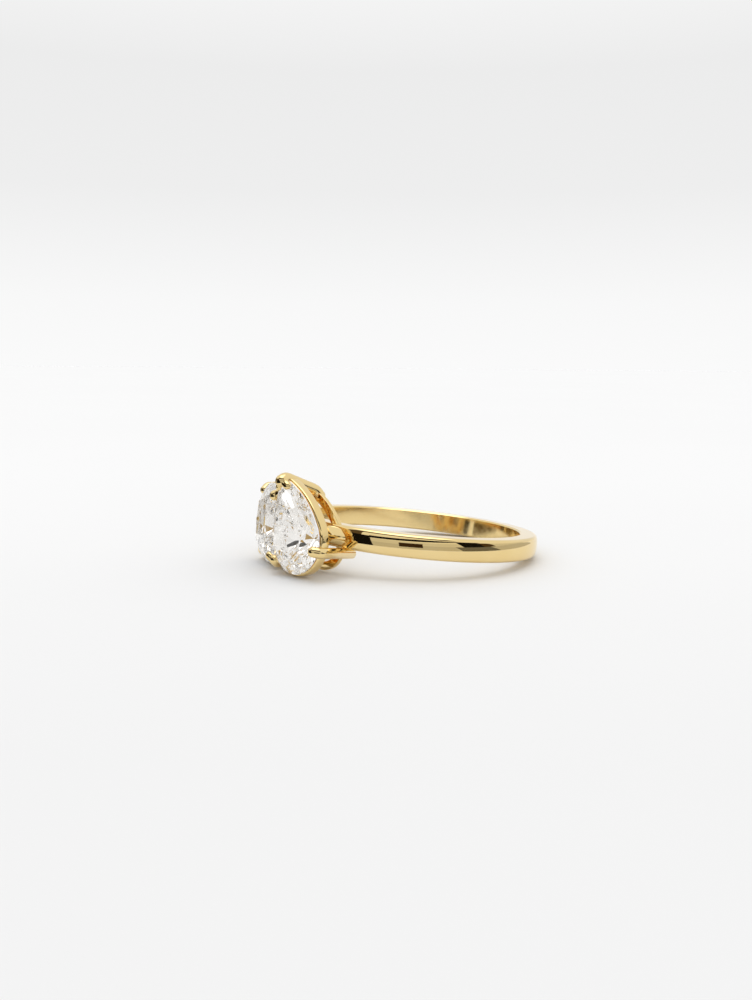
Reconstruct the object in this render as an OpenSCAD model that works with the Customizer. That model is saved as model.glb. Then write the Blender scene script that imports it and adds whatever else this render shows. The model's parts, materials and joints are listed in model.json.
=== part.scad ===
// Toi et moi ring: a pear stone and a cushion stone side by side on one slim shank.
// The ring lies on its side. Its head points to -X, the pear's side is -Y, up is +Z,
// and the origin is the centre of the finger hole.

/* [Shank] */
// Diameter of the finger hole
hole_d = 17; // [16.4:0.2:17.6]
// Thickness of the shank, from the finger hole to the crest
shank_t = 1.43; // [1.35:0.01:1.5]
// Width of the shank along the finger
shank_w = 1.68; // [1.6:0.01:1.8]
// Radius of the shank's outer edges
outer_edge_r = 0.42; // [0.3:0.01:0.5]
// Radius of the domed outer face, seen in the cross-section
dome_r = 2.6; // [2.2:0.1:4]
// Chamfer on the edges of the finger hole
inner_chamfer = 0.12; // [0.05:0.01:0.15]

/* [Pear stone] */
// Length of the pear stone, from tip to round end
pear_l = 7.15; // [7:0.05:7.3]
// Width of the pear stone
pear_w = 4.94; // [4.86:0.02:5.02]
// Distance of the pear's girdle from the finger axis
pear_out = 11.98; // [11.9:0.02:12.1]
// Distance of the pear's round centre from the middle of the head, to its own side
pear_side = 2.57; // [2.53:0.01:2.62]
// Height of the pear's round centre above the middle of the shank
pear_up = -0.49; // [-0.55:0.01:-0.45]
// Lean of the pear's tip towards the other stone
pear_lean = 23; // [21:1:24]

/* [Cushion stone] */
// Length of the cushion stone along the finger
cushion_l = 6; // [5.9:0.05:6.1]
// Width of the cushion stone
cushion_w = 5.1; // [5:0.05:5.2]
// Radius of the cushion's corners
corner_r = 1.45; // [1.35:0.05:1.5]
// Distance of the cushion's girdle from the finger axis
cushion_out = 11.5; // [11.46:0.02:11.6]
// Distance of the cushion's centre from the middle of the head, to its own side
cushion_side = 2.55; // [2.53:0.01:2.62]

/* [Cut of both stones] */
// Angle by which each stone turns away from the middle of the head
fan = 13; // [12:1:14]
// Thickness of the girdles
girdle_t = 0.14; // [0.12:0.01:0.18]
// Width of a table as a share of its stone
table_share = 0.58; // [0.54:0.01:0.62]
// Height of a crown above the girdle as a share of half the stone's width
crown_share = 0.29; // [0.26:0.01:0.32]
// Depth of a pavilion below the girdle as a share of half the stone's width
pavilion_share = 0.84; // [0.8:0.01:0.86]

/* [Baskets] */
// Size of a stone's seat in the metal as a multiple of the stone, which leaves a small gap
seat_scale = 1.02; // [1.015:0.005:1.03]
// How far the upper rails stand out past the girdles
rail_out = 0.13; // [0.1:0.01:0.16]
// Thickness of the rails' walls
rail_wall = 0.62; // [0.55:0.01:0.7]
// Height of the upper rails
rail_h = 0.78; // [0.7:0.01:0.85]
// Depth of the upper rails' top below the girdle planes
rail_drop = 0.12; // [0.1:0.01:0.18]
// Depth of the lower rails' foot below the girdle planes
gallery_foot = 3; // [2.95:0.01:3.05]
// Height of the lower rails
gallery_h = 0.35; // [0.3:0.01:0.42]
// Width of the lower rails, from their outer to their inner edge
gallery_w = 0.64; // [0.58:0.01:0.7]
// How far the lower rails step in from the girdles
gallery_in = 0.45; // [0.4:0.01:0.5]
// Diameter of the pear's two side claws
claw_d = 0.8; // [0.76:0.01:0.84]
// Diameter of the cushion's four claws
corner_claw_d = 0.68; // [0.64:0.01:0.72]
// Diameter of the wire that guards the pear's tip
tip_wire_d = 0.94; // [0.9:0.01:0.98]

/* [Hidden] */
$fn = 96;
beyond = 30;

// Shank
hole_r = hole_d / 2;
crest_r = hole_r + shank_t;
half_w = shank_w / 2;
edge_out = crest_r - outer_edge_r;
edge_up = half_w - outer_edge_r;
// The head stands this far clear of the finger hole's wall
finger_relief = 0.25;

// A pear outline is [r, tip, blend]: a round end of radius r about the origin, a tip on +Y,
// and two side arcs that leave the round end at the angle blend
pear_r = pear_w / 2;
pear = [pear_r, pear_l - pear_r, 8];
gallery_y = -0.25;
gallery_tip = 3.85;
pear_gallery = [pear_r - gallery_in, gallery_tip - gallery_y, 9];
function side_r(o) = (o[0] * o[0] + o[1] * o[1] - 2 * o[0] * o[1] * sin(o[2])) / (2 * (o[0] - o[1] * sin(o[2])));
function side_c(o) = (o[0] - side_r(o)) * [cos(o[2]), sin(o[2])];
// Angle of the outward normal where a side arc reaches the tip
function tip_turn(o) = atan2(o[1] - side_c(o)[1], -side_c(o)[0]);

// The cushion has two long and two short side arcs, which turn through these half angles
// and pass into the corner arcs. Both tangency conditions are linear in the side radii.
long_turn = 9;
short_turn = 8;
half_cw = cushion_w / 2;
half_cl = cushion_l / 2;
span_x = half_cw - corner_r * (cos(long_turn) - sin(short_turn));
span_y = half_cl - corner_r * (cos(short_turn) - sin(long_turn));
turn_det = (1 - cos(long_turn)) * (1 - cos(short_turn)) - sin(long_turn) * sin(short_turn);
long_r = (span_x * (1 - cos(short_turn)) - span_y * sin(short_turn)) / turn_det;
short_r = (span_y * (1 - cos(long_turn)) - span_x * sin(long_turn)) / turn_det;
corner = [(short_r - corner_r) * sin(short_turn), (long_r - corner_r) * sin(long_turn)];

// Point of an outline whose outward normal is at the angle q
function dir(q) = [cos(q), sin(q)];
function turned(q) = asin(sin(q));
function side_of(q) = cos(q) < 0 ? -1 : 1;
function pear_half(a) =
    a <= pear[2] ? pear_r * dir(a)
    : a <= tip_turn(pear) ? side_c(pear) + side_r(pear) * dir(a)
    : [0, pear[1]];
function pear_point(q) = let (p = pear_half(turned(q))) [side_of(q) * p[0], p[1]];
function cushion_quarter(a) =
    a <= long_turn ? [half_cw - long_r, 0] + long_r * dir(a)
    : a >= 90 - short_turn ? [0, half_cl - short_r] + short_r * dir(a)
    : corner + corner_r * dir(a);
function cushion_point(q) =
    let (a = turned(q), p = cushion_quarter(abs(a)))
    [side_of(q) * p[0], sign(a) * p[1]];

// Normal angles of the main facets, and of the girdle points between them
pear_mains = [-90, -48, -8, 17, 39, 90, 141, 163, 188, 228];
pear_betweens = [-69, -28, 5, 28, 50, 130, 152, 175, 208, 249];
cushion_mains = [for (i = [0:7]) 45 * i];
cushion_betweens = [for (i = [0:3]) each [90 * i + 12, 90 * i + 78]];
// Height of the stars' points on the crown, and of the lower halves' points on the pavilion
star_share = 0.5;
lower_share = 0.8;

// Angle at which the ring rests: a tangent line touches the shank's lower edge opposite
// the head and the feet of the two upper rails
rail_foot = rail_drop + rail_h;
head_low = pear_up - pear_r - rail_out;
cushion_up = head_low + half_cl + rail_out;
foot_out = (pear_out + cushion_out) / 2 - rail_foot * cos(fan);
rest_run = foot_out + edge_out;
rest_rise = -head_low - edge_up;
rest_tilt = atan(rest_rise / rest_run) - asin(outer_edge_r / norm([rest_run, rest_rise]));

gold = [0.83, 0.62, 0.25];
diamond = [0.93, 0.95, 0.97];

// Places its children in a stone's own frame: +X across the stone, +Y to the tip, +Z out of the table
module at_stone(out, side, up, turn, lean) {
    translate([-out, -side, up]) rotate([90, 0, turn - 90]) rotate([0, 0, lean]) children();
}
module at_pear() {
    at_stone(pear_out, pear_side, pear_up, fan, pear_lean) children();
}
module at_cushion() {
    at_stone(cushion_out, -cushion_side, cushion_up, -fan, 0) children();
}

// Rests the ring on its side
module at_rest() {
    rotate([0, rest_tilt, 0]) children();
}

// Outlines, grown by an offset that may be negative
module pear_outline(o, grow = 0) {
    join_y = (o[0] + grow) * sin(o[2]);
    circle(r = o[0] + grow);
    intersection() {
        translate(side_c(o)) circle(r = side_r(o) + grow, $fn = 240);
        mirror([1, 0, 0]) translate(side_c(o)) circle(r = side_r(o) + grow, $fn = 240);
        translate([-beyond / 2, join_y]) square(beyond);
    }
}

module lens(r, half, reach) {
    intersection() {
        translate([half - r, 0]) circle(r = r, $fn = 240);
        translate([r - half, 0]) circle(r = r, $fn = 240);
        translate([-beyond / 2, -reach]) square([beyond, 2 * reach]);
    }
}

module cushion_outline(grow = 0) {
    round_r = corner_r + grow;
    for (sx = [-1, 1], sy = [-1, 1])
        translate([sx * corner[0], sy * corner[1]]) circle(r = round_r);
    lens(long_r + grow, half_cw + grow, corner[1] + round_r * sin(long_turn));
    rotate(90) lens(short_r + grow, half_cl + grow, corner[0] + round_r * sin(short_turn));
}

// The cut is worked out from the outline: at each main facet's normal angle the girdle has a
// point on the outline, and the facets meet as a cutter makes them meet.

// Point where two main facets meet, at a share f of the way from the girdle to the top
function meet(gem, i, top, h, f) =
    let (a = main_q(gem, i), b = main_q(gem, i + 1), s = 1 - f * (1 - top))
    let (ra = s * at(gem, a) * dir(a), rb = s * at(gem, b) * dir(b), det = sin(b - a))
    [(ra * sin(b) - rb * sin(a)) / det, (rb * cos(a) - ra * cos(b)) / det, f * h];

// A gem is [is_pear, mains, betweens, half its width]
function at(gem, q) = gem[0] ? pear_point(q) : cushion_point(q);
function count(gem) = len(gem[1]);
function main_q(gem, i) = gem[1][i % count(gem)];
function between_q(gem, i) = gem[2][i % count(gem)];

// Points of the outline from the angle a up to b, without the last. Angles inside the pear's
// tip count as the side arc's end.
edge_steps = 4;
function clear_of_tip(gem, q, other) =
    let (t = tip_turn(pear))
    !gem[0] || q <= t || q >= 180 - t ? q : (other < q ? t : 180 - t);
function edge(gem, a, b) =
    let (from = clear_of_tip(gem, a, b), to = clear_of_tip(gem, b, a))
    [for (j = [0:edge_steps - 1]) at(gem, from + (to - from) * j / edge_steps)];

// Height over a point p of the plane through three points
function plane_z(a, b, c, p) =
    let (n = cross(b - a, c - a))
    a[2] - (n[0] * (p[0] - a[0]) + n[1] * (p[1] - a[1])) / n[2];
function raised(p, z) = [p[0], p[1], z];

// Girdle edge of one half of a gem, with the scallops that its half facets cut
function girdle_edge(gem, top, h, f) = [
    for (i = [0:count(gem) - 1])
        let (m = meet(gem, i, top, h, f), q = main_q(gem, i), r = between_q(gem, i), t = main_q(gem, i + 1))
        let (p0 = raised(at(gem, q), 0), p1 = raised(at(gem, r), 0), p2 = raised(at(gem, t), 0))
        each concat(
            [for (p = edge(gem, q, r)) raised(p, plane_z(m, p0, p1, p))],
            [for (p = edge(gem, r, t < r ? t + 360 : t)) raised(p, plane_z(m, p1, p2, p))])
];
function lifted(points, g, s) = [for (p = points) [p[0], p[1], s * (g + p[2])]];

module brilliant(gem) {
    n = count(gem);
    k = edge_steps;
    ring = 2 * n * k;
    g = girdle_t / 2;
    crown_h = gem[3] * crown_share;
    pavilion_h = gem[3] * pavilion_share;
    table = [for (i = [0:n - 1]) raised(table_share * at(gem, main_q(gem, i)), crown_h)];
    stars = [for (i = [0:n - 1]) meet(gem, i, table_share, crown_h, star_share)];
    lowers = [for (i = [0:n - 1]) meet(gem, i, 0, pavilion_h, lower_share)];
    points = concat(
        lifted(table, g, 1), lifted(stars, g, 1),
        lifted(girdle_edge(gem, table_share, crown_h, star_share), g, 1),
        lifted(girdle_edge(gem, 0, pavilion_h, lower_share), g, -1),
        lifted(lowers, g, -1), [[0, 0, -g - pavilion_h]]);
    t0 = 0;
    s0 = n;
    u0 = 2 * n;
    d0 = u0 + ring;
    l0 = d0 + ring;
    culet = l0 + n;
    // Each loop is listed clockwise as seen from outside
    upper = [for (i = [0:n - 1]) let (j = (i + 1) % n, h = (i + n - 1) % n, a = 2 * k * i, b = a + k) each [
        [t0 + j, s0 + i, t0 + i],
        [s0 + i, u0 + a, s0 + h, t0 + i],
        [s0 + i, for (c = [k:-1:0]) u0 + a + c],
        [s0 + i, for (c = [k:-1:0]) u0 + (b + c) % ring]
    ]];
    lower = [for (i = [0:n - 1]) let (h = (i + n - 1) % n, a = 2 * k * i, b = a + k) each [
        [culet, l0 + h, d0 + a, l0 + i],
        [l0 + i, for (c = [0:k]) d0 + a + c],
        [l0 + i, for (c = [0:k]) d0 + (b + c) % ring]
    ]];
    band = [for (c = [0:ring - 1]) let (e = (c + 1) % ring) [u0 + c, u0 + e, d0 + e, d0 + c]];
    polyhedron(points, concat([[for (i = [n - 1:-1:0]) t0 + i]], upper, lower, band), convexity = 2);
}

pear_gem = [true, pear_mains, pear_betweens, pear_r];
cushion_gem = [false, cushion_mains, cushion_betweens, half_cw];

// Domed shank with a plain bore
module shank() {
    rotate_extrude($fn = 180) {
        intersection() {
            union() {
                translate([hole_r, -half_w]) square([shank_t - outer_edge_r, shank_w]);
                translate([hole_r, -edge_up]) square([shank_t, 2 * edge_up]);
                for (s = [-1, 1]) translate([edge_out, s * edge_up]) circle(r = outer_edge_r);
            }
            translate([crest_r - dome_r, 0]) circle(r = dome_r, $fn = 180);
            polygon([
                [hole_r, -half_w + inner_chamfer], [hole_r + inner_chamfer, -half_w],
                [crest_r + 1, -half_w], [crest_r + 1, half_w],
                [hole_r + inner_chamfer, half_w], [hole_r, half_w - inner_chamfer]
            ]);
        }
    }
}

// Wire from a to b with a ball at its far end, a little thicker than the wire
ball = 1.03;
module wire(a, b, d) {
    v = b - a;
    translate(a) rotate([0, acos(v[2] / norm(v)), atan2(v[1], v[0])]) cylinder(h = norm(v), d = d, $fn = 48);
    translate(b) sphere(d = ball * d, $fn = 48);
}

// Claw: a wire from the lower rail up past the girdle, bent over the crown's edge
module claw(foot, shoulder, tip, d) {
    wire(foot, shoulder, d);
    wire(shoulder, tip, d);
}

// Rail with a straight wall around an outline's two children: the outer and the inner one
module rail(foot, h) {
    translate([0, 0, -foot]) linear_extrude(h) difference() {
        children(0);
        children(1);
    }
}

// Heights in a stone's own frame: a claw's foot in the lower rail, its shoulder and its tip
claw_foot = -gallery_foot + gallery_h / 2;
claw_low = -0.05;
claw_high = 0.34;
// How far a claw's shoulder stands out past the girdle
claw_off = 0.24;

function on_round(r, q, z) = [r * cos(q), r * sin(q), z];

// Three claws hold the pear: two low on the round end, and a forked one over the tip
outer_q = -34;
inner_q = 203;
claw_over = 0.08;
outer_foot = [1.5, -1.46, -4.2];
tip_back = 0.28;
tip_wire_in = 0;
fork_y = 0.66;
fork_x = 0.34;
fork_d = 0.56;

module pear_basket() {
    rail(rail_foot, rail_h) {
        pear_outline(pear, rail_out);
        pear_outline(pear, rail_out - rail_wall);
    }
    translate([0, gallery_y, 0]) rail(gallery_foot, gallery_h) {
        pear_outline(pear_gallery);
        pear_outline(pear_gallery, -gallery_w);
    }
    // The outer claw's wire runs on past the lower rail to the finger hole, beside the shank
    claw(outer_foot, on_round(pear_r + claw_off, outer_q, claw_low),
        on_round(pear_r - claw_over, outer_q, claw_high), claw_d);
    claw(on_round(pear_r - 0.3, inner_q, claw_foot), on_round(pear_r + claw_off, inner_q, claw_low),
        on_round(pear_r - claw_over, inner_q, claw_high), claw_d);
    tip = [0, pear[1] - tip_back, claw_high];
    tip_foot = [0, gallery_tip - tip_wire_in, claw_foot];
    claw(tip_foot, [0, pear[1] + 0.06, claw_low], tip, tip_wire_d);
    translate(tip_foot) sphere(d = ball * tip_wire_d, $fn = 48);
    for (s = [-1, 1]) wire(tip, [s * fork_x, pear[1] - fork_y, claw_high - 0.04], fork_d);
}

// Four claws hold the cushion, one over each corner. Angle of their place on the corner arcs,
// and distances of their tip and foot inside those arcs and of their shoulder outside
corner_q = 44;
corner_over = 0.3;
corner_in = 0.4;
corner_off = 0.16;
// Side, end and tip height of each. The lower one on the outer side is short
corner_claws = [[1, 1, 0.28], [-1, 1, 0.28], [1, -1, 0.28], [-1, -1, 0.04]];
function on_corner(c, r, z) =
    [c[0] * (corner[0] + r * cos(corner_q)), c[1] * (corner[1] + r * sin(corner_q)), z];

module cushion_basket() {
    rail(rail_foot, rail_h) {
        cushion_outline(rail_out);
        cushion_outline(rail_out - rail_wall);
    }
    rail(gallery_foot, gallery_h) {
        cushion_outline(-gallery_in);
        cushion_outline(-gallery_in - gallery_w);
    }
    for (c = corner_claws)
        claw(on_corner(c, corner_r - corner_in, claw_foot), on_corner(c, corner_r + corner_off, claw_low),
            on_corner(c, corner_r - corner_over, c[2]), corner_claw_d);
}

// All the metal, soldered into one piece
module gold_mount() {
    color(gold) at_rest() difference() {
        union() {
            shank();
            difference() {
                union() {
                    at_pear() pear_basket();
                    at_cushion() cushion_basket();
                }
                cylinder(h = beyond, r = hole_r + finger_relief, center = true, $fn = 180);
            }
        }
        at_pear() scale(seat_scale) brilliant(pear_gem);
        at_cushion() scale(seat_scale) brilliant(cushion_gem);
    }
}

module pear_stone() {
    color(diamond) at_rest() at_pear() brilliant(pear_gem);
}

module cushion_stone() {
    color(diamond) at_rest() at_cushion() brilliant(cushion_gem);
}

gold_mount();
pear_stone();
cushion_stone();
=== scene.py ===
# Toi et moi ring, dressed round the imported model.
# Pieces are drawn in millimetres in the ring's or a stone's own frame, then placed in metres.
import json
import math

import bmesh
import bpy
from mathutils import Matrix, Vector


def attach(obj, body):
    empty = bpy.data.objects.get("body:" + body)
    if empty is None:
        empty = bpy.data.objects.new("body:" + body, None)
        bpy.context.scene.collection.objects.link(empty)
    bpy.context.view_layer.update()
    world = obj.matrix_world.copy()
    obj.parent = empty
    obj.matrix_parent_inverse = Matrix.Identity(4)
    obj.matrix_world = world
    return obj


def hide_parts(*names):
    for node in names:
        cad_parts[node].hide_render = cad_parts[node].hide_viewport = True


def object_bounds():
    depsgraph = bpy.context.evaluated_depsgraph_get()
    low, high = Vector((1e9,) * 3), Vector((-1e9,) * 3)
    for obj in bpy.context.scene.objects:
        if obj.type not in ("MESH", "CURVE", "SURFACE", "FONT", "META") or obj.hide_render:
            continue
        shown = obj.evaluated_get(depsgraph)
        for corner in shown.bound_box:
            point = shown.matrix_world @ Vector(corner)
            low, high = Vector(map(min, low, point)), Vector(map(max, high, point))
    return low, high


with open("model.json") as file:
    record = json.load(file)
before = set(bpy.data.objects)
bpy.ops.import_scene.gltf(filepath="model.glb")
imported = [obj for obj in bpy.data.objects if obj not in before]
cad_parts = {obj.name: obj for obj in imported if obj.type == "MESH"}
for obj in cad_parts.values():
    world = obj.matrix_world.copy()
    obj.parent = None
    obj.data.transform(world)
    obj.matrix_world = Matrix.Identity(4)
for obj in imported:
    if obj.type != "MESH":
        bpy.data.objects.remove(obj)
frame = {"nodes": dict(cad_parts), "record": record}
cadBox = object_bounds()
scene = bpy.context.scene

mm = 0.001  # in metres
weld = 0.001  # mirrored points closer than this, in mm, become one
hair = 0.0001  # points this near a cutting plane, in mm, lie on it


def turn(axis, degrees):
    return Matrix.Rotation(math.radians(degrees), 4, axis)


# the finger hole's axis gives the angle at which the ring rests
holeAxis = frame["record"]["mounts"][0]["axis"]
atRest = Matrix.Scale(mm, 4) @ turn("Y", math.degrees(math.atan2(holeAxis[0], holeAxis[2])))
floorZ = cadBox[0][2]


# materials

def newMaterial(name):
    material = bpy.data.materials.new(name)
    material.use_nodes = True
    tree = material.node_tree
    return material, tree, tree.nodes["Principled BSDF"]


def addNoise(tree, scale, detail=3.0):
    # noise on object coordinates, so it stays put on the piece
    coords = tree.nodes.new("ShaderNodeTexCoord")
    noise = tree.nodes.new("ShaderNodeTexNoise")
    noise.inputs["Scale"].default_value = scale
    noise.inputs["Detail"].default_value = detail
    tree.links.new(coords.outputs["Object"], noise.inputs["Vector"])
    return noise


def addRamp(tree, source, low, high, start=0.3, end=0.7):
    ramp = tree.nodes.new("ShaderNodeValToRGB")
    ramp.color_ramp.elements[0].position = start
    ramp.color_ramp.elements[1].position = end
    ramp.color_ramp.elements[0].color = low
    ramp.color_ramp.elements[1].color = high
    tree.links.new(source, ramp.inputs["Fac"])
    return ramp


def grey(value):
    return (value, value, value, 1)


# outside and inside are the least and most roughness, and bumpDepth is in metres
gold = {
    "low": (0.855, 0.65, 0.3, 1), "high": (0.895, 0.695, 0.345, 1),
    "cloudScale": 260, "polishScale": 2600, "polishDetail": 5,
    "outside": (0.02, 0.05), "inside": (0.08, 0.13), "bump": 0.012, "bumpDepth": 0.00002,
}


def makeGold(name, roughness):
    material, tree, shader = newMaterial(name)
    shader.inputs["Metallic"].default_value = 1
    cloud = addNoise(tree, gold["cloudScale"])
    tint = addRamp(tree, cloud.outputs["Fac"], gold["low"], gold["high"])
    tree.links.new(tint.outputs["Color"], shader.inputs["Base Color"])
    polish = addNoise(tree, gold["polishScale"], gold["polishDetail"])
    rough = addRamp(tree, polish.outputs["Fac"], grey(roughness[0]), grey(roughness[1]))
    tree.links.new(rough.outputs["Color"], shader.inputs["Roughness"])
    bump = tree.nodes.new("ShaderNodeBump")
    bump.inputs["Strength"].default_value = gold["bump"]
    bump.inputs["Distance"].default_value = gold["bumpDepth"]
    tree.links.new(polish.outputs["Fac"], bump.inputs["Height"])
    tree.links.new(bump.outputs["Normal"], shader.inputs["Normal"])
    return material


# each part's darkest and lightest tint. The index is lower than a real diamond's for looks alone:
# it keeps the facets crisp.
diamond = {
    "crown": ((0.985, 0.955, 0.905, 1), (1, 0.98, 0.95, 1)), "pavilion": (grey(0.985), grey(1)),
    "scale": 420, "index": {"pear": 1.6, "cushion": 2.0},
}


def makeDiamond(stone, part):
    # the crown is clear, and the pavilion is a mirror that sends all light back
    material, tree, shader = newMaterial(stone + "_diamond_" + part)
    shader.inputs["Roughness"].default_value = 0
    shader.inputs["IOR"].default_value = diamond["index"][stone]
    shader.inputs["Transmission Weight"].default_value = 1
    shader.inputs["Metallic"].default_value = 0 if part == "crown" else 1
    haze = addNoise(tree, diamond["scale"])
    tint = addRamp(tree, haze.outputs["Fac"], *diamond[part])
    tree.links.new(tint.outputs["Color"], shader.inputs["Base Color"])
    return material


goldMaterial = makeGold("polished_yellow_gold", gold["outside"])
satinMaterial = makeGold("satin_yellow_gold", gold["inside"])
print("materials made")


# tools for the metal

def toObject(bm, name, materials=()):
    # keeps a drawn bmesh as a new object
    mesh = bpy.data.meshes.new(name)
    bm.to_mesh(mesh)
    bm.free()
    for material in materials:
        mesh.materials.append(material)
    obj = bpy.data.objects.new(name, mesh)
    scene.collection.objects.link(obj)
    return obj


def cutOut(piece, cutter):
    # takes the cutter's shape out of a piece and keeps the result as its mesh
    modifier = piece.modifiers.new("cut_out", "BOOLEAN")
    modifier.operation = "DIFFERENCE"
    modifier.solver = "EXACT"
    modifier.use_self = "claw" in piece.name  # a claw's wires overlap
    modifier.object = cutter
    shape = bpy.data.meshes.new_from_object(piece.evaluated_get(bpy.context.evaluated_depsgraph_get()))
    piece.modifiers.clear()
    old, piece.data = piece.data, shape
    bpy.data.meshes.remove(old)
    shape.name = piece.name


def finish(bm, name, place, bevelled=None, sharpAngle=40, cutter=None):
    # turns a drawn bmesh into a gold piece that stands for the soldered mount
    if bevelled:
        bmesh.ops.recalc_face_normals(bm, faces=bm.faces)
        edges = [e for e in bm.edges if e.calc_face_angle(0) > math.radians(bevelled["over"])]
        bmesh.ops.bevel(bm, geom=edges, offset=bevelled["width"], offset_type="OFFSET", affect="EDGES",
                        segments=bevelled["segments"], profile=0.5, material=-1, clamp_overlap=True)
    bmesh.ops.transform(bm, matrix=place, verts=bm.verts)
    bmesh.ops.recalc_face_normals(bm, faces=bm.faces)
    for face in bm.faces:
        face.smooth = True
    piece = toObject(bm, name, [goldMaterial])
    if cutter:
        cutOut(piece, cutter)
    piece.data.set_sharp_from_angle(angle=math.radians(sharpAngle))
    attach(piece, "root")
    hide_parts("gold_mount")
    return piece


def everything(bm):
    return bm.verts[:] + bm.edges[:] + bm.faces[:]


def sweepStrip(bm, outer, inner, turns, degreesPerStep=3):
    # an edge that turns about one centre after the other leaves a flat strip behind it
    a, b = (bmesh.ops.create_vert(bm, co=co)["vert"][0] for co in (outer, inner))
    geom = [a, b, bm.edges.new((a, b))]
    for centre, angle in turns:
        geom = bmesh.ops.spin(bm, geom=geom, cent=centre, axis=(0, 0, 1), angle=math.radians(angle),
                              steps=max(1, round(angle / degreesPerStep)))["geom_last"]


def mirrorAll(bm, axis):
    bmesh.ops.mirror(bm, geom=everything(bm), matrix=Matrix(), merge_dist=weld, axis=axis)


# the shank: satin is how far across the inner chamfer the finger hole's satin wall reaches

shank = {
    "holeR": 8.5, "thick": 1.43, "width": 1.68, "domeR": 2.6, "edgeR": 0.3, "chamfer": 0.12,
    "arcSteps": 12, "spinSteps": 240, "sharp": 35, "satin": 0.3,
}


def drawShank():
    s = shank
    bm = bmesh.new()
    halfW = s["width"] / 2
    domeX = s["holeR"] + s["thick"] - s["domeR"]
    sideX = s["holeR"] + s["chamfer"]
    # the edge's arc touches the flat side and, from inside, the dome
    edgeZ = halfW - s["edgeR"]
    edgeX = domeX + math.sqrt((s["domeR"] - s["edgeR"]) ** 2 - edgeZ ** 2)
    reach = math.degrees(math.asin(edgeZ / (s["domeR"] - s["edgeR"])))
    corners = [(s["holeR"], 0, -halfW + s["chamfer"]), (sideX, 0, -halfW), (edgeX, 0, -halfW)]
    verts = [bmesh.ops.create_vert(bm, co=c)["vert"][0] for c in corners]
    for a, b in zip(verts, verts[1:]):
        bm.edges.new((a, b))
    last = verts[-1]
    for centre, angle, steps in (((edgeX, 0, -edgeZ), 90 - reach, s["arcSteps"]),
                                 ((domeX, 0, 0), 2 * reach, 2 * s["arcSteps"]),
                                 ((edgeX, 0, edgeZ), 90 - reach, s["arcSteps"])):
        spun = bmesh.ops.spin(bm, geom=[last], cent=centre, axis=(0, -1, 0),
                              angle=math.radians(angle), steps=steps)
        last = [v for v in spun["geom_last"] if isinstance(v, bmesh.types.BMVert)][0]
    for x, z in ((sideX, halfW), (s["holeR"], halfW - s["chamfer"])):
        new = bmesh.ops.create_vert(bm, co=(x, 0, z))["vert"][0]
        bm.edges.new((last, new))
        last = new
    bm.edges.new((last, verts[0]))
    bmesh.ops.spin(bm, geom=bm.verts[:] + bm.edges[:], cent=(0, 0, 0), axis=(0, 0, 1),
                   angle=math.radians(360), steps=s["spinSteps"], use_merge=True)
    return finish(bm, "shank", atRest, sharpAngle=s["sharp"])


def satinHole(piece):
    piece.data.materials.append(satinMaterial)
    toRing = atRest.inverted()
    for face in piece.data.polygons:
        centre = toRing @ face.center
        if math.hypot(centre.x, centre.y) < shank["holeR"] + shank["chamfer"] * shank["satin"]:
            face.material_index = 1


satinHole(drawShank())
print("shank made")


# the stones' outlines. The pear has a round end of radius r, which its sides leave at the angle
# blend, and a tip so far from the round end's centre. The cushion's long and short sides turn
# through longTurn and shortTurn degrees on each half. Then their places: out from the finger
# hole's centre, to their own side of the head and up, with the turn away from its middle and
# the lean in degrees.

pear = {
    "r": 2.47, "tip": 4.68, "blend": 8,
    "out": 11.98, "side": 2.57, "up": -0.49, "fan": 13, "lean": 23,
}
cushion = {
    "halfW": 2.55, "halfL": 3.0, "cornerR": 1.45, "longTurn": 9, "shortTurn": 8,
    "out": 11.5, "side": -2.55, "up": 0.04, "fan": -13, "lean": 0,
}


def stoneFrame(s):
    place = Matrix.Translation((-s["out"], -s["side"], s["up"]))
    return atRest @ place @ turn("Z", s["fan"] - 90) @ turn("X", 90) @ turn("Z", s["lean"])


def pearRing(bm, r, tip, blend, grow, wall, z):
    # half a flat ring: a round end about the origin and a side arc that leaves it at the angle blend
    sinB = math.sin(math.radians(blend))
    sideR = (r * r + tip * tip - 2 * r * tip * sinB) / (2 * (r - tip * sinB))
    cx = (r - sideR) * math.cos(math.radians(blend))
    cy = (r - sideR) * sinB
    side = math.degrees(math.acos(-cx / (sideR + grow))) - blend
    sweepStrip(bm, (0, -r - grow, z), (0, wall - r - grow, z),
               (((0, 0, z), 90 + blend), ((cx, cy, z), side)))
    bmesh.ops.bisect_plane(bm, geom=everything(bm), dist=hair,
                           plane_co=(0, 0, 0), plane_no=(1, 0, 0), clear_inner=True)
    mirrorAll(bm, "X")


def cushionArcs(s):
    # radii of the long and short side arcs and the corner arc's centre. Where arcs meet they touch,
    # which gives two linear equations for the radii.
    sinL, cosL = math.sin(math.radians(s["longTurn"])), math.cos(math.radians(s["longTurn"]))
    sinS, cosS = math.sin(math.radians(s["shortTurn"])), math.cos(math.radians(s["shortTurn"]))
    spanX = s["halfW"] - s["cornerR"] * (cosL - sinS)
    spanY = s["halfL"] - s["cornerR"] * (cosS - sinL)
    det = (1 - cosL) * (1 - cosS) - sinL * sinS
    longR = (spanX * (1 - cosS) - spanY * sinS) / det
    shortR = (spanY * (1 - cosL) - spanX * sinL) / det
    return longR, shortR, (shortR - s["cornerR"]) * sinS, (longR - s["cornerR"]) * sinL


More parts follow.
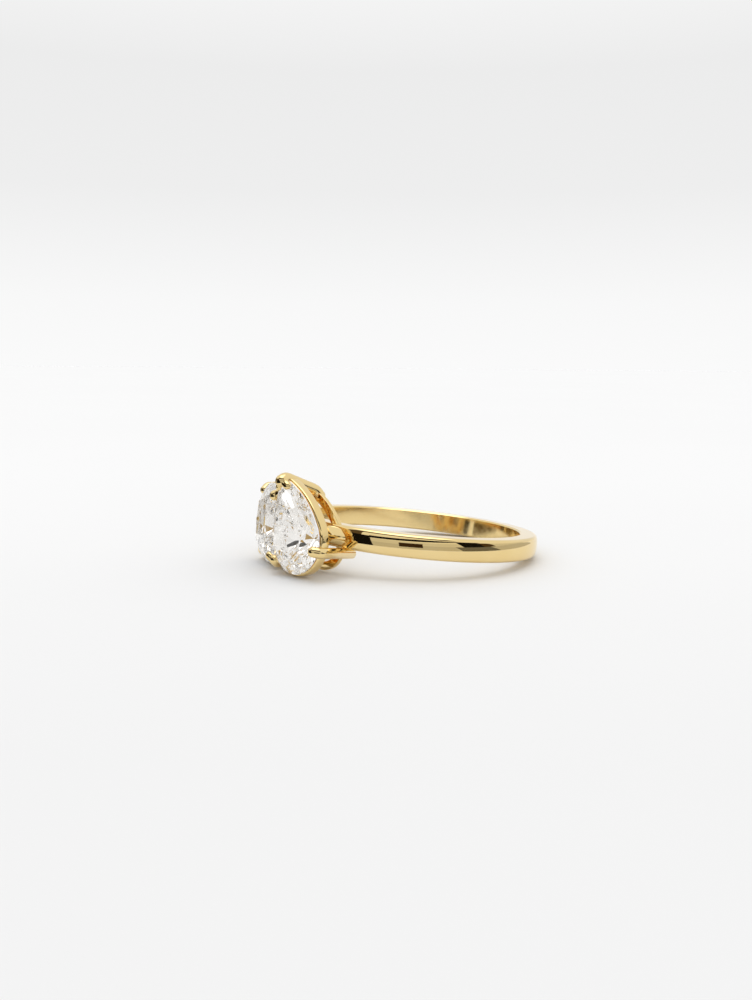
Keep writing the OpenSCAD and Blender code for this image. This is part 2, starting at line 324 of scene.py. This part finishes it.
def cushionRing(bm, grow, wall, z):
    # a quarter of a flat ring: half a long side, a corner and half a short side, as arcs
    s = cushion
    longR, shortR, cx, cy = cushionArcs(s)
    corner = 90 - s["longTurn"] - s["shortTurn"]
    sweepStrip(bm, (s["halfW"] + grow, 0, z), (s["halfW"] + grow - wall, 0, z),
               (((s["halfW"] - longR, 0, z), s["longTurn"]), ((cx, cy, z), corner),
                ((0, s["halfL"] - shortR, z), s["shortTurn"])))
    mirrorAll(bm, "X")
    mirrorAll(bm, "Y")


pearFrame, cushionFrame = stoneFrame(pear), stoneFrame(cushion)


# the seats in the metal: both stones a little larger, and room for the finger. Merge is in metres.

seats = {"scale": 1.02, "relief": 0.25, "fingerH": 30, "sides": 180, "merge": 5e-7}


def makeSeats():
    bm = bmesh.new()
    for node, place in (("pear_stone", pearFrame), ("cushion_stone", cushionFrame)):
        known = set(bm.verts)
        bm.from_mesh(frame["nodes"][node].data)
        grow = place @ Matrix.Scale(seats["scale"], 4) @ place.inverted()
        bmesh.ops.transform(bm, matrix=grow, verts=[v for v in bm.verts if v not in known])
    bmesh.ops.remove_doubles(bm, verts=bm.verts, dist=seats["merge"])
    fingerR = shank["holeR"] + seats["relief"]
    bmesh.ops.create_cone(bm, cap_ends=True, segments=seats["sides"], radius1=fingerR,
                          radius2=fingerR, depth=seats["fingerH"], matrix=atRest)
    return toObject(bm, "seats")


seatCutter = makeSeats()


# the rails: a foot's depth is below the girdle, and edges sharper than over, in degrees, are bevelled

rails = {
    "upper": {"foot": 0.9, "height": 0.78, "out": 0.13, "wall": 0.62},
    "lower": {"foot": 3.0, "height": 0.35, "in": 0.45, "wall": 0.64},
    "pearLower": {"y": -0.25, "tip": 3.85, "blend": 9},
    "bevel": {"over": 60, "width": 0.13, "segments": 4},
}
upper, lower, pearLower = rails["upper"], rails["lower"], rails["pearLower"]


def drawRail(name, place, ring, grow, rail):
    # a flat ring raised to the rail's height, with rounded edges
    bm = bmesh.new()
    ring(bm, grow, rail["wall"], -rail["foot"])
    raised = bmesh.ops.extrude_face_region(bm, geom=bm.faces[:])["geom"]
    top = [v for v in raised if isinstance(v, bmesh.types.BMVert)]
    bmesh.ops.translate(bm, verts=top, vec=(0, 0, rail["height"]))
    finish(bm, name, place, rails["bevel"], cutter=seatCutter)


def pearTop(bm, grow, wall, z):
    pearRing(bm, pear["r"], pear["tip"], pear["blend"], grow, wall, z)


def pearFoot(bm, grow, wall, z):
    tip = pearLower["tip"] - pearLower["y"]
    pearRing(bm, pear["r"] - lower["in"], tip, pearLower["blend"], grow, wall, z)


drawRail("pear_upper_rail", pearFrame, pearTop, upper["out"], upper)
drawRail("pear_lower_rail", pearFrame @ Matrix.Translation((0, pearLower["y"], 0)), pearFoot, 0, lower)
drawRail("cushion_upper_rail", cushionFrame, cushionRing, upper["out"], upper)
drawRail("cushion_lower_rail", cushionFrame, cushionRing, -lower["in"], lower)
print("rails made")


# the wires that the claws are bent from: a bend takes bend mm of the stretches beside it, or share
# of one that is too short, and the last ring of a round end is capEnd times the wire's size

wires = {"sides": 28, "bendSteps": 8, "capSteps": 8, "bend": 0.3, "share": 0.45, "capEnd": 0.02}


def bentPath(points):
    # straight stretches with a smooth bend at each point between
    path = [points[0]]
    for a, b, c in zip(points, points[1:], points[2:]):
        before = b + (a - b).normalized() * min(wires["bend"], (a - b).length * wires["share"])
        after = b + (c - b).normalized() * min(wires["bend"], (c - b).length * wires["share"])
        for i in range(wires["bendSteps"] + 1):
            t = i / wires["bendSteps"]
            path.append(before * (1 - t) ** 2 + b * 2 * t * (1 - t) + after * t * t)
    path.append(points[-1])
    return path


def roundEnd(end, heading, r):
    # centres and radii of the rings that close a wire's end
    rings = []
    for i in range(wires["capSteps"]):
        angle = math.radians(90 * (i + 1) / wires["capSteps"])
        rings.append((end + heading * r * math.sin(angle), max(r * math.cos(angle), r * wires["capEnd"])))
    return rings


def sweep(bm, points, d, roundFoot=False):
    # round wire along a path, with a rounded far end
    path = bentPath([Vector(p) for p in points])
    r = d / 2
    stations = [(p, r) for p in path]
    if roundFoot:
        stations = roundEnd(path[0], (path[0] - path[1]).normalized(), r)[::-1] + stations
    stations += roundEnd(path[-1], (path[-1] - path[-2]).normalized(), r)
    centre, size = stations[0]
    heading = (stations[1][0] - centre).normalized()
    spin = Vector((0, 0, 1)).rotation_difference(heading).to_matrix().to_4x4()
    here = Matrix.Translation(centre) @ spin @ Matrix.Scale(size, 4)
    ring = bmesh.ops.create_circle(bm, cap_ends=True, segments=wires["sides"], radius=1, matrix=here)
    cap = ring["verts"][0].link_faces[0]
    for i in range(1, len(stations)):
        centre, size = stations[i]
        back = (centre - stations[i - 1][0]).normalized()
        fore = (stations[i + 1][0] - centre).normalized() if i + 1 < len(stations) else back
        newHeading = (back + fore).normalized()
        spin = heading.rotation_difference(newHeading).to_matrix().to_4x4() @ spin
        heading = newHeading
        there = Matrix.Translation(centre) @ spin @ Matrix.Scale(size, 4)
        cap = bmesh.ops.extrude_discrete_faces(bm, faces=[cap])["faces"][0]
        bmesh.ops.transform(bm, matrix=there @ here.inverted(), verts=cap.verts)
        here = there
    bmesh.ops.holes_fill(bm, edges=[e for e in bm.edges if e.is_boundary], sides=0)  # the foot


def direction(degrees):
    return math.cos(math.radians(degrees)), math.sin(math.radians(degrees))


# the pear's two side claws stand at an angle on its round end. Each starts at its foot, passes
# the girdle at the height low and ends over the stone at the height high.

footZ = -lower["foot"] + lower["height"] / 2
pearClaws = {
    "outer": {"angle": -34, "foot": (1.5, -1.46, -4.2)},
    "inner": {"angle": 203, "foot": None},
    "d": 0.8, "footIn": 0.3, "out": 0.24, "low": -0.05, "over": 0.08, "high": 0.34,
}


def makeSideClaw(name):
    c = pearClaws
    x, y = direction(c[name]["angle"])

    def at(r, z):
        return (r * x, r * y, z)

    bm = bmesh.new()
    foot = c[name]["foot"] or at(pear["r"] - c["footIn"], footZ)
    sweep(bm, (foot, at(pear["r"] + c["out"], c["low"]), at(pear["r"] - c["over"], c["high"])), c["d"])
    finish(bm, "pear_" + name + "_claw", pearFrame, cutter=seatCutter)


# the wire over the pear's tip: it curls up from a foot at the lower rail's tip and ends in two forks,
# each given by how far aside it ends and how far short of the pear's tip

tipClaw = {
    "d": 0.94, "foot": (3.3, -3.05), "railIn": 0.12, "railUp": 0.1, "shoulder": -0.08, "back": 0.28,
    "forks": ((-0.36, 0.6), (0.46, 0.78)), "forkZ": -0.04, "forkD": 0.6,
}


def makeTipClaw():
    c = tipClaw
    bm = bmesh.new()
    end = (0, pear["tip"] - c["back"], pearClaws["high"])
    sweep(bm, ((0, *c["foot"]), (0, pearLower["tip"] - c["railIn"], footZ + c["railUp"]),
               (0, pear["tip"] + c["shoulder"], pearClaws["low"]), end), c["d"], roundFoot=True)
    for aside, below in c["forks"]:
        sweep(bm, (end, (aside, pear["tip"] - below, pearClaws["high"] + c["forkZ"])), c["forkD"])
    finish(bm, "pear_tip_claw", pearFrame, cutter=seatCutter)


# the cushion's corner claws, each with the sides of its corner and the height of its end

cornerClaws = {
    "near_top": (1, 1, 0.28), "far_top": (-1, 1, 0.28), "near_low": (1, -1, 0.28), "far_low": (-1, -1, 0.04),
    "angle": 44, "over": 0.3, "in": 0.4, "out": 0.16, "low": -0.05, "d": 0.68,
    "ball": 0.82, "ballIn": 0.05, "ballUp": 0.02, "ballRings": 20,
}


def makeCornerClaw(name):
    c = cornerClaws
    sideX, sideY, high = c[name]
    x, y = direction(c["angle"])
    centreX, centreY = cushionArcs(cushion)[2:]
    cornerR = cushion["cornerR"]

    def at(r, z):
        return (sideX * (centreX + r * x), sideY * (centreY + r * y), z)

    bm = bmesh.new()
    sweep(bm, (at(cornerR - c["in"], footZ), at(cornerR + c["out"], c["low"]), at(cornerR - c["over"], high)),
          c["d"])
    if name == "near_top":  # its end is a small ball
        ball = Matrix.Translation(at(cornerR - c["over"] - c["ballIn"], high + c["ballUp"]))
        bmesh.ops.create_uvsphere(bm, u_segments=wires["sides"], v_segments=c["ballRings"],
                                  radius=c["ball"] / 2, matrix=ball)
    finish(bm, "cushion_" + name + "_claw", cushionFrame, cutter=seatCutter)


for name in ("outer", "inner"):
    makeSideClaw(name)
makeTipClaw()
for name in ("near_top", "far_top", "near_low", "far_low"):
    makeCornerClaw(name)
bpy.data.objects.remove(seatCutter)
print("claws made")


# the stones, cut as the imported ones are. Faces within flat degrees of each other are one facet,
# and facets whose normal rises by more than rise are the crown's.

facets = {"flat": 0.3, "rise": 0.1}


def drawStone(stone, place):
    node = stone + "_stone"
    bm = bmesh.new()
    bm.from_mesh(frame["nodes"][node].data)
    bmesh.ops.remove_doubles(bm, verts=bm.verts, dist=seats["merge"])
    bmesh.ops.dissolve_limit(bm, angle_limit=math.radians(facets["flat"]), verts=bm.verts, edges=bm.edges)
    toStone = place.inverted().to_3x3()
    for face in bm.faces:
        face.smooth = False
        inCrown = (toStone @ face.normal).normalized().z > facets["rise"]
        face.material_index = 0 if inCrown else 1
    piece = toObject(bm, node + "_cut", [makeDiamond(stone, "crown"), makeDiamond(stone, "pavilion")])
    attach(piece, "root")
    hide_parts(node)


drawStone("pear", pearFrame)
drawStone("cushion", cushionFrame)
print("stones made")


# the camera: its place in mm, angles in degrees, and near and far in metres

camera = {
    "place": (-42.059, -60.734, 13.509), "azimuth": 32.368, "down": 8.495, "roll": 0.452,
    "lens": 33.45, "sensor": 36, "near": 0.001, "far": 20,
}


def placeCamera():
    data = bpy.data.cameras.new("photo_camera")
    data.lens = camera["lens"]
    data.sensor_width = camera["sensor"]
    data.clip_start, data.clip_end = camera["near"], camera["far"]
    obj = bpy.data.objects.new("photo_camera", data)
    scene.collection.objects.link(obj)
    obj.matrix_world = (Matrix.Translation(Vector(camera["place"]) * mm) @ turn("Z", -camera["azimuth"])
                        @ turn("X", 90 - camera["down"]) @ turn("Z", camera["roll"]))
    scene.camera = obj


placeCamera()

# the side of the ring that the camera is on, in degrees about Z from -Y
cameraX, cameraY = camera["place"][:2]
cardAzimuth = round(math.degrees(math.atan2(cameraX, -cameraY)), 1)


# the floor: shades dim the white paper from start, at 0, to end, at 1, in metres beyond the ring's
# centre as the camera sees it. This is painted shade: darker towards the camera, and a touch darker again far
# off

floor = {
    "radius": 2.0, "sides": 96, "white": 0.868, "grain": 0.004, "grainScale": 12,
    "start": -0.04, "end": 0.17, "shades": {0.0: 0.929, 0.19: 0.974, 0.43: 0.988, 1.0: 0.983},
}


def setStops(ramp, shades):
    stops = ramp.color_ramp.elements
    stops[0].color, stops[1].color = grey(shades[0.0]), grey(shades[1.0])
    for place, shade in shades.items():
        if 0 < place < 1:
            stops.new(place).color = grey(shade)


def makePaper():
    material, tree, shader = newMaterial("white_paper")
    shader.inputs["Roughness"].default_value = 1
    shader.inputs["Specular IOR Level"].default_value = 0
    grain = addNoise(tree, floor["grainScale"])
    low, high = grey(floor["white"] - floor["grain"]), grey(floor["white"] + floor["grain"])
    white = addRamp(tree, grain.outputs["Fac"], low, high)
    coords = tree.nodes.new("ShaderNodeTexCoord")
    split = tree.nodes.new("ShaderNodeSeparateXYZ")
    tree.links.new(coords.outputs["Object"], split.inputs["Vector"])
    span = tree.nodes.new("ShaderNodeMapRange")
    span.inputs["From Min"].default_value = floor["start"]
    span.inputs["From Max"].default_value = floor["end"]
    tree.links.new(split.outputs["Y"], span.inputs["Value"])
    # painted shade: the paper darkens towards the camera
    fall = tree.nodes.new("ShaderNodeValToRGB")
    setStops(fall, floor["shades"])
    tree.links.new(span.outputs["Result"], fall.inputs["Fac"])
    blend = tree.nodes.new("ShaderNodeMix")
    blend.data_type, blend.blend_type = "RGBA", "MULTIPLY"
    blend.inputs["Factor"].default_value = 1
    tree.links.new(white.outputs["Color"], blend.inputs["A"])
    tree.links.new(fall.outputs["Color"], blend.inputs["B"])
    tree.links.new(blend.outputs["Result"], shader.inputs["Base Color"])
    return material


def makeFloor():
    bm = bmesh.new()
    bmesh.ops.create_circle(bm, cap_ends=True, segments=floor["sides"], radius=floor["radius"])
    obj = toObject(bm, "floor", [makePaper()])
    obj.matrix_world = Matrix.Translation((0, 0, floorZ)) @ turn("Z", cardAzimuth)


makeFloor()

# white tent with a lamp overhead: brightness at a height, from 0 at the horizon to 1 overhead
tent = {
    0.0: 0.955, 0.06: 0.94, 0.12: 0.895, 0.17: 0.855, 0.28: 0.84, 0.34: 0.9,
    0.88: 0.92, 0.94: 2.1, 1.0: 2.3,
}


def makeWorld():
    world = bpy.data.worlds.new("light_tent")
    scene.world = world
    world.use_nodes = True
    tree = world.node_tree
    coords = tree.nodes.new("ShaderNodeTexCoord")
    split = tree.nodes.new("ShaderNodeSeparateXYZ")
    tree.links.new(coords.outputs["Generated"], split.inputs["Vector"])
    ramp = tree.nodes.new("ShaderNodeValToRGB")
    setStops(ramp, tent)
    tree.links.new(split.outputs["Z"], ramp.inputs["Fac"])
    tree.links.new(ramp.outputs["Color"], tree.nodes["Background"].inputs["Color"])
    tree.nodes["Background"].inputs["Strength"].default_value = 1.0


makeWorld()

# glowing cards on the camera's side, which are painted reflections: they light nothing on the floor,
# cast no shadow and show only in the metal's reflections and through the stones. Edges are given by
# distance in mm and height in degrees, both from the ring's centre, and the span in degrees from the
# camera's direction. Twist turns the low edge on, and rise lifts the right end. The metal mirrors the
# first group, and the second one is seen in the stones.
cardSteps = 24
black, brown, tan = (0.008, 0.007, 0.006, 1), (0.07, 0.045, 0.02, 1), (0.43, 0.28, 0.1, 1)
metalCards = {
    "left": {"span": (-84, -35.5), "low": (23, -4.6), "high": (60, 15.8), "twist": 8, "shade": black},
    "leftEnd": {"span": (-125, -84), "low": (23, -4.6), "high": (60, 20), "shade": (0.1, 0.07, 0.03, 1)},
    "leftTop": {"span": (-84, -43), "low": (60, 15.8), "high": (60, 32), "shade": (0.1, 0.07, 0.04, 1)},
    "hood": {"span": (-60, 45), "low": (60, 32), "high": (60, 50), "shade": (0.05, 0.04, 0.025, 1)},
    "right": {"span": (35, 55), "low": (59, 2), "high": (59, 18.5), "twist": 8, "shade": black},
    "side": {"span": (55, 66), "low": (59, 2), "high": (59, 14), "twist": 8, "shade": brown},
    "above": {"span": (-36, 60), "low": (59, 11.4), "high": (59, 16.8), "rise": 4.5, "shade": black},
    "lens": {"span": (-9.5, 7.2), "low": (26, -1.2), "high": (26, 6.8), "shade": (0.04, 0.022, 0.008, 1)},
    "front": {"span": (-35.5, 35), "low": (23, -4.6), "high": (60, 2.9), "shade": grey(0.56)},
    "frontRight": {"span": (35, 68), "low": (23, -4.6), "high": (60, 2.9), "shade": grey(0.16)},
    "frontEnd": {"span": (68, 112), "low": (23, -4.6), "high": (60, 2.9), "shade": grey(0.55)},
    # haze and veil are painted grey bands in the metal's reflections
    "haze": {"span": (-36, 112), "low": (60, 2.9), "high": (60, 10.8), "shade": grey(0.68)},
    "veil": {"span": (-36, 112), "low": (60, 10.8), "high": (60, 18.4), "shade": grey(0.83)},
}
# painted tan, grey and dark reflections seen through the stones
stoneCards = {
    "apron": {"span": (-23.5, -16.8), "low": (25.4, -3.6), "high": (25.4, 1.2), "shade": tan},
    "fan": {"span": (-22, -6), "low": (300, 0), "high": (300, 12), "shade": tan},
    "kite": {"span": (-42, -26), "low": (300, -0.3), "high": (300, 12), "shade": tan},
    "heart": {"span": (-9, 8), "low": (300, 1), "high": (300, 10), "shade": tan},
    "wings": {"span": (-84, -40), "low": (300, 4), "high": (300, 40), "shade": grey(0.42)},
    "brow": {"span": (-30, 40), "low": (300, 40), "high": (300, 50), "shade": grey(0.09)},
}


def makeShade(name, colour):
    # a card's material only glows
    material, tree, shader = newMaterial(name)
    shader.inputs["Base Color"].default_value = grey(0)
    shader.inputs["Specular IOR Level"].default_value = 0
    shader.inputs["Emission Color"].default_value = colour
    shader.inputs["Emission Strength"].default_value = 1
    return material


def makeCard(name, card, inMetal):
    left, right = card["span"]
    bm = bmesh.new()

    def corner(edge, twist):
        distance, height = card[edge]
        return turn("Z", twist) @ Vector((0, -distance, distance * math.tan(math.radians(height))))

    # a strip round the ring: spun from one edge
    a = bmesh.ops.create_vert(bm, co=corner("low", card.get("twist", 0)))["vert"][0]
    b = bmesh.ops.create_vert(bm, co=corner("high", 0))["vert"][0]
    bmesh.ops.spin(bm, geom=[a, b, bm.edges.new((a, b))], cent=(0, 0, 0), axis=(0, 0, 1),
                   dvec=(0, 0, card.get("rise", 0) / cardSteps), angle=math.radians(right - left),
                   steps=cardSteps)
    bmesh.ops.transform(bm, matrix=Matrix.Scale(mm, 4) @ turn("Z", cardAzimuth + left), verts=bm.verts)
    obj = toObject(bm, "card_" + name, [makeShade("card_" + name, card["shade"])])
    # seen only in reflections and through the stones: the card is a painted reflection
    obj.visible_camera = False
    obj.visible_diffuse = False
    obj.visible_shadow = False
    obj.visible_glossy = inMetal
    obj.visible_transmission = not inMetal


for name, card in metalCards.items():
    makeCard(name, card, inMetal=True)
for name, card in stoneCards.items():
    makeCard(name, card, inMetal=False)

scene.view_settings.view_transform = "Standard"

# light turns many times inside a cut stone
stoneBounces = 40
scene.cycles.max_bounces = stoneBounces
scene.cycles.glossy_bounces = stoneBounces
scene.cycles.transmission_bounces = stoneBounces
print("camera, floor and light made")
